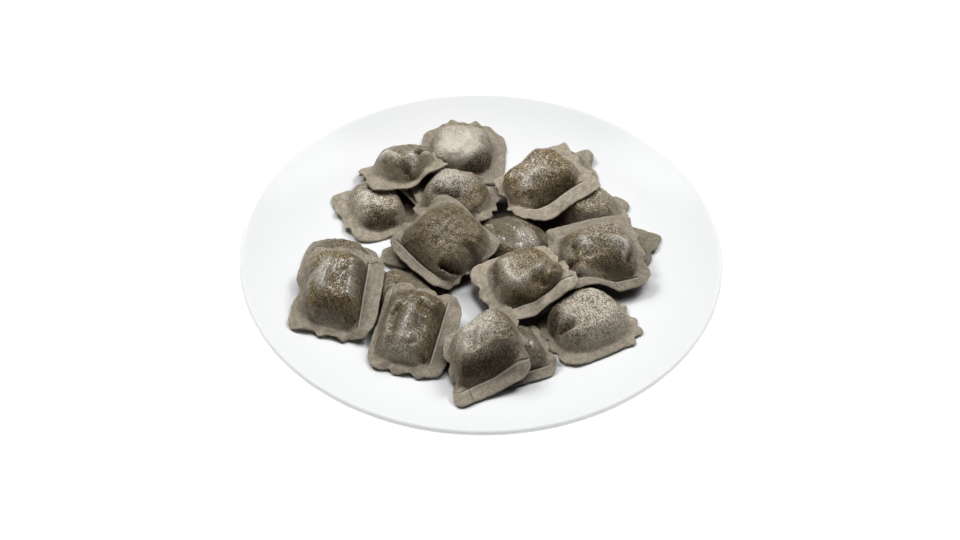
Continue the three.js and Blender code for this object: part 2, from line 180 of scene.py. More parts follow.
# Lengths in millimetres, angles in degrees.
plate = {
    "radius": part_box("plate")[1].x / mm,
    "height": 22.0,
    "floor": 5.0,
    "wellRadius": 70.0,
    "wall": 3.6,
    "innermost": 6.0,       # radius of the first and the last ring
    "footRadius": 52.0,
    "footWidth": 6.0,
    "footHeight": 1.4,
    "footInner": 4.35,      # run of the foot's rounding towards the middle
    "footFlat": 0.8,
    "footOuter": 3.4,       # run of its rounding outwards
    "footClear": 2.0,
    "lipClear": 3.0,
    "lipStart": -60.0,      # where the rounded lip begins, below the outermost point
    "lipTurn": 28.4,        # how far past its top it meets the inner slope, without a corner
    "sectors": 192,
    "rings": {"middle": 10, "foot": 7, "underside": 26, "lip": 15, "top": 52},
    "glaze": shade(0.86, 0.87, 0.87),
    "glazeCloud": shade(0.84, 0.85, 0.86),
    "bareFoot": shade(0.62, 0.58, 0.52),
    "shadow": shade(0.075, 0.060, 0.055),
    "cloudSize": 9.0,       # noise sizes, in repeats for each metre
    "waveSize": 55.0,
    "pitSize": 900.0,
    "waveDepth": 0.05,
    "bareHeight": (0.25, 0.6),
    "roughness": 0.17,
    "bareRoughness": 0.55,
    "specular": 0.09,
}

lip = plate["wall"] / 2
lipTurn = math.radians(plate["lipTurn"])
lipMiddle = (plate["radius"] - lip, plate["height"] - lip)
slopeEnd = (lipMiddle[0] - lip * math.sin(lipTurn), lipMiddle[1] + lip * math.cos(lipTurn))


def plateTop(radius):
    along = np.maximum(0, radius - plate["wellRadius"]) / (slopeEnd[0] - plate["wellRadius"])
    return plate["floor"] + (slopeEnd[1] - plate["floor"]) * along ** 2


# From the middle of the underside over the foot and the lip to the middle of the well.
def plateProfile():
    rings = plate["rings"]
    under = plate["footHeight"]
    foot = plate["footRadius"]
    inside = foot - plate["footWidth"]
    middle = (foot + inside) / 2
    profile = [(radius, under)
               for radius in np.linspace(plate["innermost"], inside - under, rings["middle"])]
    turns = np.linspace(0, math.pi / 2, rings["foot"])
    for turn in turns[::-1]:
        profile.append((middle - plate["footInner"] * math.sin(turn),
                        under * (1 - math.cos(turn))))
    for turn in turns[1:]:
        profile.append((middle + plate["footFlat"] + plate["footOuter"] * math.sin(turn),
                        under * (1 - math.cos(turn))))
    start = foot + plate["footClear"]
    for radius in np.linspace(start, lipMiddle[0] - plate["lipClear"], rings["underside"]):
        profile.append((radius, max(plateTop(radius) - plate["wall"], under)))
    start = math.radians(plate["lipStart"])
    for turn in np.linspace(start, math.pi / 2 + lipTurn, rings["lip"]):
        profile.append((lipMiddle[0] + lip * math.cos(turn), lipMiddle[1] + lip * math.sin(turn)))
    for radius in np.linspace(slopeEnd[0], plate["innermost"], rings["top"])[1:]:
        profile.append((radius, plateTop(radius)))
    return profile


def makePlate():
    profile = plateProfile()
    count = plate["sectors"]
    angles = np.arange(count) * 2 * math.pi / count
    rings = [np.stack([radius * np.cos(angles), radius * np.sin(angles), np.full(count, height)], 1)
             for radius, height in profile]
    first = [[0, 0, plate["footHeight"]]]
    last = [[0, 0, plate["floor"]]]
    points = np.concatenate([first] + rings + [last])
    faces = [face[::-1] for face in ringFaces(count, len(rings))]
    return newPiece("whitePlate", points, faces, plateGlaze(), "plate")


# Gloss white glaze with the faint waviness of a dipped plate, a bare ring where it stands, and
# shadow in the deepest gaps of the pile.
def plateGlaze():
    glaze = Finish("plateGlaze")
    place = glaze.add("ShaderNodeTexCoord", output="Object")
    height = glaze.add("ShaderNodeSeparateXYZ", None, {0: place}, output=2)
    bareFrom, bareTo = plate["bareHeight"]
    bare = 1 - glaze.between(height, bareFrom * mm, bareTo * mm)
    cloud = glaze.noise(place, plate["cloudSize"], 3.0)
    wave = glaze.noise(place, plate["waveSize"], 1.0)
    pit = glaze.between(glaze.noise(place, plate["pitSize"], 1.0), 0.74, 0.8)
    colour = glaze.mixColour(cloud, plate["glaze"], plate["glazeCloud"])
    colour = glaze.mixColour(bare, colour, plate["bareFoot"])
    # Painted shadow in the deepest gaps of the pile.
    colour = glaze.mixColour(0.9 * glaze.attribute("paintedGapShade"), colour, plate["shadow"])
    return glaze.surface({
        "Base Color": colour,
        "Roughness": plate["roughness"] + 0.03 * cloud + plate["bareRoughness"] * bare,
        "IOR": 1.5,
        "Specular IOR Level": plate["specular"],
        "Normal": glaze.bump(wave - 0.15 * pit, plate["waveDepth"]),
    })


# Shape of one raviolo, lying flat at the origin, in millimetres.
pasta = {
    "sheet": 1.6,
    "strip": 5.0,
    "hem": 4.5,
    "ragged": 5.5,
    "dome": 13.0,
    "belly": 1.2,
    "outlinePower": 5.0,
    "domePower": 3.0,
    "creasePower": 7.0,
    "edgeDepth": 1.5,
    "edgePitch": 11.0,
    "edgeThinner": 0.35,    # share of its thickness that the band loses towards its edge
    "wave": 1.4,
    "lump": 0.9,
    "stripStep": 0.3,
    "skirt": 2.2,
    "droop": 1.2,
    "droopFrom": 0.55,      # where the sheet begins to hang, as a share of the dome's foot
    "curlFrom": 0.35,
    "shoulder": 0.7,
    "gatherAt": (0.92, 0.16),
    "runFade": 1.5,
    "domeRings": 38,
    "domeSpacing": 1.55,
    "bandRings": 13,
    "underRings": 9,
}

fineSides = {"ragged": 58, "straight": 54}
plainSides = {"ragged": 40, "straight": 36}

# Rings round the cut edge: ring, side, how far it is set in, and its share of the thickness.
edgeRings = [(2.0, 1, 0.08, 0.3), (2.0, 1, 0.0, 0.0), (2.0, 1, 0.1, -0.35), (2.0, -1, 0.3, 0.65)]

# Small waves laid over the shape: height, length, offset of the draw, and how many are added.
waves = {
    "nick": (0.12, 3.4, 200, 18),
    "smallNick": (0.072, 1.7, 230, 18),
    "cut": (0.16, 6.0, 260, 18),
    "flutter": (0.7, 9.0, 300, 18),
    "pleat": (0.55, 11.0, 310, 9),
    "wrinkle": (0.5, 16.0, 10, 18),
    "swell": (0.16, 6.5, 20, 18),
    "pebble": (0.05, 2.6, 40, 18),
    "gather": (0.14, 4.2, 60, 26),
    "rough": (0.09, 3.6, 80, 18),
}
circles = {"pleat": 24, "gather": 30}   # radius of a circle that waves are drawn round
sideApart = 40.0    # keeps the draws of the two ragged sides apart
farAway = 9.0       # stands for a crease or crack that isn't near

# Where the skin's noise is read: how far the ravioli are apart in it, how far an underside is
# below its top, and the circle and length of the streaks that run down a dome.
skinPlace = {"apart": 60.0, "below": 40.0, "around": 26.0, "outwards": 2.4}


# The same draw for the same seed and use, spread over a full turn.
def phase(seed, use):
    draw = seed * 0.618034 + use * 0.754878
    return 2 * math.pi * (draw - math.floor(draw))


def roundedReach(halfX, halfY, power, angle):
    across = np.abs(np.cos(angle) / halfX) ** power
    return (across + np.abs(np.sin(angle) / halfY) ** power) ** (-1 / power)


# Sum of many small waves in all directions.
def grain(name, piece, x, y):
    height, length, use, count = waves[name]
    draws = np.random.default_rng(piece["seed"] + use)
    total = np.zeros_like(x)
    for heading, start, stretch in draws.random((count, 3)):
        number = 2 * math.pi / (length * (0.6 + 0.9 * stretch))
        run = x * math.cos(2 * math.pi * heading) + y * math.sin(2 * math.pi * heading)
        total += np.sin(number * run + 2 * math.pi * start)
    return height * total / math.sqrt(count)


def grainAround(name, piece, angle):
    radius = circles[name]
    return grain(name, piece, radius * np.cos(angle), radius * np.sin(angle))


def halves(piece):
    return piece["size"][0] / 2, piece["size"][1] / 2


def outlineAngles(piece):
    halfX, halfY = halves(piece)
    ragged = piece["sides"]["ragged"]
    straight = piece["sides"]["straight"]
    angles = []
    for side in (1, -1):
        for k in range(ragged):
            angles.append(math.atan2(side * halfY * ((2 * k + 1) / ragged - 1), side * halfX))
        for k in range(straight):
            angles.append(math.atan2(side * halfY, side * halfX * (1 - (2 * k + 1) / straight)))
    return np.array(angles)


# How far the edge is from the middle. The two ragged sides swing in and out, each in its own way.
def outlineReach(piece, angle):
    halfX, halfY = halves(piece)
    reach = roundedReach(halfX, halfY, piece["square"], angle)
    x = reach * np.cos(angle)
    y = reach * np.sin(angle)
    seed = piece["seed"]
    shift = np.where(x > 0, phase(seed, 4), phase(seed, 5))
    shiftToo = np.where(x > 0, phase(seed, 6), phase(seed, 7))
    pitch = pasta["edgePitch"] + phase(seed, 3) / math.pi
    swing = 0.72 * np.sin(2 * math.pi * y / pitch + shift)
    swing += 0.28 * np.sin(3.7 * math.pi * y / pitch + shiftToo)
    draw = sideApart * np.where(x > 0, 1, 2)
    nicks = grain("nick", piece, y, draw) + grain("smallNick", piece, y, draw)
    onRagged = np.abs(x / halfX) ** 6 * np.abs(np.cos(angle))
    cut = grain("cut", piece, x, sideApart + y / halfY) * np.abs(np.sin(angle))
    for heading, out, width in piece["pulls"]:
        turned = angle - math.radians(heading)
        apart = np.arctan2(np.sin(turned), np.cos(turned))
        reach = reach + out * np.exp(-(apart / math.radians(width)) ** 2)
    return reach + (pasta["edgeDepth"] * swing + nicks) * onRagged + cut


# Half the width and half the depth of the dome, and how sharply it is creased, towards a side.
def footHalves(piece, angle):
    halfX, halfY = halves(piece)
    near = np.sin(angle) < 0
    halfY = halfY - np.where(near, piece["strip"], piece["hem"])
    return halfX - piece["ragged"], halfY, np.where(near, *piece["creases"])


def footReach(piece, angle):
    halfX, halfY, creased = footHalves(piece, angle)
    power = pasta["domePower"] + (pasta["creasePower"] - pasta["domePower"]) * creased
    return roundedReach(halfX, halfY, power, angle)


# How far the direction faces a straight side that was creased, from 0 to 1.
def creaseShare(piece, angle):
    halfX, halfY, creased = footHalves(piece, angle)
    towards = footReach(piece, angle) * np.abs(np.sin(angle)) / halfY
    return creased * smoothStep(towards, 0.3, 0.85)


# The dome ends in a crisp crease at a creased side. Elsewhere it runs out over the flat band.
def domeHeight(piece, angle, reach, foot):
    share = creaseShare(piece, angle)
    along = np.clip(reach / foot, 0, 1)
    crisp = (1 - along ** piece["front"]) ** 0.9
    spreadOut = np.clip(reach / (foot + pasta["skirt"]), 0, 1)
    faded = (1 - spreadOut ** piece["side"]) ** 1.15
    return piece["dome"] * (share * crisp + (1 - share) * faded)


def lumps(piece, x, y):
    seed = piece["seed"]
    broad = np.sin(x / 5.5 + phase(seed, 11)) * np.sin(y / 6.1 + phase(seed, 12))
    small = np.sin(x / 3.1 + y / 3.7 + phase(seed, 13))
    return pasta["lump"] * (broad + 0.55 * small)


# The same place on axes that are turned by an angle in degrees.
def onTurned(x, y, degrees):
    angle = math.radians(degrees)
    return x * math.cos(angle) + y * math.sin(angle), y * math.cos(angle) - x * math.sin(angle)


def dentDepth(dent, x, y):
    run, side = onTurned(x - dent["at"][0], y - dent["at"][1], dent["along"])
    length, width = dent["reach"]
    return dent["depth"] * np.exp(-(run / length) ** 2 - (side / width) ** 2)


# 1 on the path of a fold, which is given on the plate's axes, and less away from it.
def nearFold(piece, path, width, x, y):
    own = [onTurned(*spot, piece["turn"]) for spot in path]
    away = np.full_like(x, np.inf)
    for (startX, startY), (endX, endY) in zip(own, own[1:]):
        alongX = endX - startX
        alongY = endY - startY
        share = ((x - startX) * alongX + (y - startY) * alongY) / (alongX ** 2 + alongY ** 2)
        share = np.clip(share, 0, 1)
        away = np.minimum(away, np.hypot(x - startX - share * alongX, y - startY - share * alongY))
    return np.exp(-(away / width) ** 2)


# The filling stops under planes that fall away from a shoulder: its place and heading are on the
# plate's axes, its level is a share of the dome, and drop is its slope.
def flattened(piece, filling, x, y):
    soft = pasta["shoulder"]
    turn = piece["turn"]
    for flat in piece["flats"]:
        fromX, fromY = onTurned(*flat["from"], turn)
        ahead = onTurned(x - fromX, y - fromY, flat["towards"] - turn)[0]
        plane = np.maximum(flat["level"] * piece["dome"] - flat["drop"] * ahead, 0.4)
        blended = -soft * np.log(np.exp(-filling / soft) + np.exp(-plane / soft))
        filling = np.minimum(filling, blended + 0.2)
    return filling


# The bare sheet ripples, hangs towards its edge and curls at its corners.
def sheetHeight(piece, angle, x, y):
    inner = pasta["droopFrom"] * footReach(piece, angle)
    outward = np.clip((np.hypot(x, y) - inner) / (outlineReach(piece, angle) - inner), 0, 1)
    ripple = 0.6 * np.sin(3 * angle + phase(piece["seed"], 21))
    ripple += 0.4 * np.sin(5 * angle + phase(piece["seed"], 22))
    height = pasta["wave"] * outward ** 1.5 * ripple - piece["droop"] * outward ** 2
    height = height + grainAround("pleat", piece, angle) * outward * np.abs(np.cos(angle))
    start = pasta["curlFrom"]
    for lift, (signX, signY) in zip(piece["curl"], ((-1, -1), (1, -1), (1, 1), (-1, 1))):
        towards = signX * x / piece["size"][0] + signY * y / piece["size"][1]
        height = height + lift * np.clip((towards - start) / (1 - start), 0, 1) ** 1.6
    halfX = piece["size"][0] / 2
    raggedShare = smoothStep(np.abs(x), halfX - piece["ragged"], halfX)
    return height + grain("flutter", piece, x, y) * smoothStep(outward, 0.55, 1.0) * raggedShare


# The filling over the sheet, with its folds, dents and small relief.
def fillingHeight(piece, angle, reach, foot, x, y):
    filling = flattened(piece, domeHeight(piece, angle, reach, foot), x, y)
    inside = np.clip(filling / piece["dome"] * 1.6, 0, 1)
    filling += lumps(piece, x, y) * inside
    filling += (waves["wrinkle"][0] / 2 - np.abs(grain("wrinkle", piece, x, y))) * inside
    for path, width, lift, paintedLight in piece["folds"]:
        filling += lift * nearFold(piece, path, width, x, y) * inside
    filling += (grain("swell", piece, x, y) + grain("pebble", piece, x, y)) * inside
    middle, width = pasta["gatherAt"]
    filling += grainAround("gather", piece, angle) * np.exp(-((reach / foot - middle) / width) ** 2)
    for dent in piece["dents"]:
        filling -= dentDepth(dent, x, y)
    return np.maximum(filling, 0)


# A ring from 0 to 1 crosses the dome, and one from 1 to 2 crosses the flat band. A side of -1 is
# the underside. Gives the ring's points and what the skin reads on them.
def ringPoints(piece, angle, ring, side, inset=0.0, thick=1.0):
    halfX, halfY = halves(piece)
    offX, offY = piece["off"]
    along = min(ring, 1.0)
    band = max(ring - 1.0, 0.0)
    foot = footReach(piece, angle)
    reach = foot * along + (outlineReach(piece, angle) - foot) * band - inset
    towardsPeak = 1 - along ** 1.5
    x = reach * np.cos(angle) + piece["peak"][0] * towardsPeak + offX * (1 - band)
    y = reach * np.sin(angle) + piece["peak"][1] * towardsPeak + offY * (1 - band)

    # How far a point is out past the crease of its side, and how sharp the crease is there.
    creaseSide = np.where(y < 0, piece["strip"] + offY - y, piece["hem"] - offY + y) - halfY
    beyond = np.abs(x - offX) - halfX + piece["ragged"]
    fade = smoothStep(beyond, piece["run"], piece["run"] + pasta["runFade"])
    creased = np.where(y < 0, *piece["creases"]) * (1 - fade)

    height = sheetHeight(piece, angle, x, y)
    filling = np.zeros_like(x)
    if side > 0:
        filling = fillingHeight(piece, angle, reach, foot, x, y)
        strip = smoothStep(creaseSide, -0.1, 0.7) * creased * (1 if ring >= 1 else 0)
        height = height + pasta["sheet"] / 2 * thick + filling
        height = height - pasta["stripStep"] * strip * band ** 0.2
        height = height + grain("rough", piece, x, y) * band * (1 - strip)
    else:
        height = height - pasta["sheet"] / 2 * thick - pasta["belly"] * (1 - along ** 2)

    rise = filling / piece["dome"]
    share = creaseShare(piece, angle)
    cover = share * smoothStep(rise, 0.0, 0.12) + (1 - share) * smoothStep(rise, 0.1, 0.75)
    # Painted highlight along a fold with a positive value, painted shade along one below 0.
    paintedLightAndShade = np.zeros_like(x)
    for path, width, lift, paintedLight in piece["folds"]:
        shown = smoothStep(rise, 0.0, 0.3 if paintedLight > 0 else 0.06)
        paintedLightAndShade += paintedLight * nearFold(piece, path, width, x, y) * shown
    top = 1 if side > 0 else 0
    around = skinPlace["around"]
    return np.stack([x + piece["slant"] * y / halfY, y, height], 1), {
        "skin": np.stack([x + skinPlace["apart"] * piece["seed"], y,
                          filling + skinPlace["below"] * (1 - top)], 1),
        "spread": np.stack([around * np.cos(angle), around * np.sin(angle),
                            np.full_like(x, skinPlace["outwards"] * along) + piece["seed"]], 1),
        "rise": np.clip(rise, 0, 1),
        "cover": cover * top,
        "paintedLightAndShade": np.clip(paintedLightAndShade, -1, 1) * top,
        "outward": smoothStep(np.full_like(x, along), 0.15, 0.7) * (1 - band),
        "edge": np.full_like(x, band if top else 0.6 * band),
        "creaseSide": creaseSide if top else np.full_like(x, farAway),
        "creased": creased,
        "skinX": x,
        "skinY": y,
    }


def flatRaviolo(piece):
    angle = outlineAngles(piece)
    steps = np.linspace(0, 1, pasta["domeRings"] + 1)[1:]
    band = np.linspace(0, 1, pasta["bandRings"] + 1)[1:]
    under = np.linspace(1, 0, pasta["underRings"] + 1)[1:-1]
    thinner = pasta["edgeThinner"]
    layout = [(ring, 1) for ring in 1 - (1 - steps) ** pasta["domeSpacing"]]
    layout += [(1 + share, 1, 0.3 * share ** 3, 1 - thinner * share) for share in band]
    layout += edgeRings
    layout += [(1 + share, -1, 0.0, 1 - thinner * share) for share in (0.75, 0.4, 0.0)]
    layout += [(ring, -1) for ring in under]
    rows = [ringPoints(piece, np.zeros(1), 0.0, 1)]
    rows += [ringPoints(piece, angle, *entry) for entry in layout]
    rows.append(ringPoints(piece, np.zeros(1), 0.0, -1))
    points = np.concatenate([row[0] for row in rows])
    layers = {key: np.concatenate([row[1][key] for row in rows]) for key in rows[0][1]}
    return points, layers, ringFaces(len(angle), len(layout))


def laidPoints(piece, points):
    turn = Matrix.Rotation(math.radians(piece["turn"]), 3, "Z")
    tipX = Matrix.Rotation(math.radians(piece["tip"][0]), 3, "X")
    tipY = Matrix.Rotation(math.radians(piece["tip"][1]), 3, "Y")
    return points @ np.array(tipY @ tipX @ turn).T + np.array(piece["at"])


# A raviolo is laid on a grid of the heights below it, one cell for each millimetre.
contact = {"gap": 0.35, "reach": 1, "spread": 4, "passes": 6, "enough": 0.01}
grid = {"reach": 140, "size": 281}


def cellsOf(points):
    columns = np.rint(points[:, 0] + grid["reach"]).astype(int)
    rows = np.rint(points[:, 1] + grid["reach"]).astype(int)
    return rows * grid["size"] + columns


def heightGrid(points, start, choose):
    heights = np.full(grid["size"] ** 2, start)
    choose.at(heights, cellsOf(points), points[:, 2])
    return heights.reshape(grid["size"], grid["size"])


# Each cell combined with its neighbours in a square window.
def windowed(values, reach, combine):
    for axis in (0, 1):
        total = values.copy()
        for step in range(1, reach + 1):
            for shift in (step, -step):
                total = combine(total, np.roll(values, shift, axis))
        values = total
    return values


def averaged(values, reach):
    return windowed(values, reach, np.add) / (2 * reach + 1) ** 2


def sampled(values, points):
    column = points[:, 0] + grid["reach"]
    row = points[:, 1] + grid["reach"]
    left = np.floor(column).astype(int)
    low = np.floor(row).astype(int)
    shareX = column - left
    shareY = row - low
    near = values[low, left] * (1 - shareX) + values[low, left + 1] * shareX
    far = values[low + 1, left] * (1 - shareX) + values[low + 1, left + 1] * shareX
    return near * (1 - shareY) + far * shareY


# Lifts a raviolo, smoothly and straight up, where it would sink into what lies below it.
def bendOver(points, heights):
    below = windowed(heights, contact["reach"], np.maximum)
    for step in range(contact["passes"]):
        lowest = heightGrid(points, np.inf, np.minimum)
        sunk = np.where(np.isfinite(lowest), np.maximum(0, below + contact["gap"] - lowest), 0)
        if sunk.max() < contact["enough"]:
            break
        peaks = windowed(sunk, contact["spread"], np.maximum)
        half = contact["spread"] // 2
        lift = averaged(averaged(peaks, half), half)
        points[:, 2] += sampled(lift, points)


# What a raviolo has unless its own entry says otherwise.
standardRaviolo = {
    "sides": fineSides,
    "tip": (0, 0),
    "strip": pasta["strip"],
    "hem": pasta["hem"],
    "ragged": pasta["ragged"],
    "dome": pasta["dome"],
    "droop": pasta["droop"],
    "pulls": [],
    "front": 3.6,
    "side": 4.6,
    "square": pasta["outlinePower"],
    "off": (0, 0),
    "peak": (0, 0),
    "slant": 0,
    "curl": (0, 0, 0, 0),
    "dents": [],
    "folds": [],
    "flats": [],
    "creases": (1.0, 0.0),
    "run": -1.0,
    "crack": None,
    "flour": (0.2, 0, 0, 40),
    "soft": 0.0,
    "crevice": 1.0,
    "gold": 0.6,
    "gloss": 0.6,
    "paintedBrightness": 1.0,
    "olive": 0.3,
}
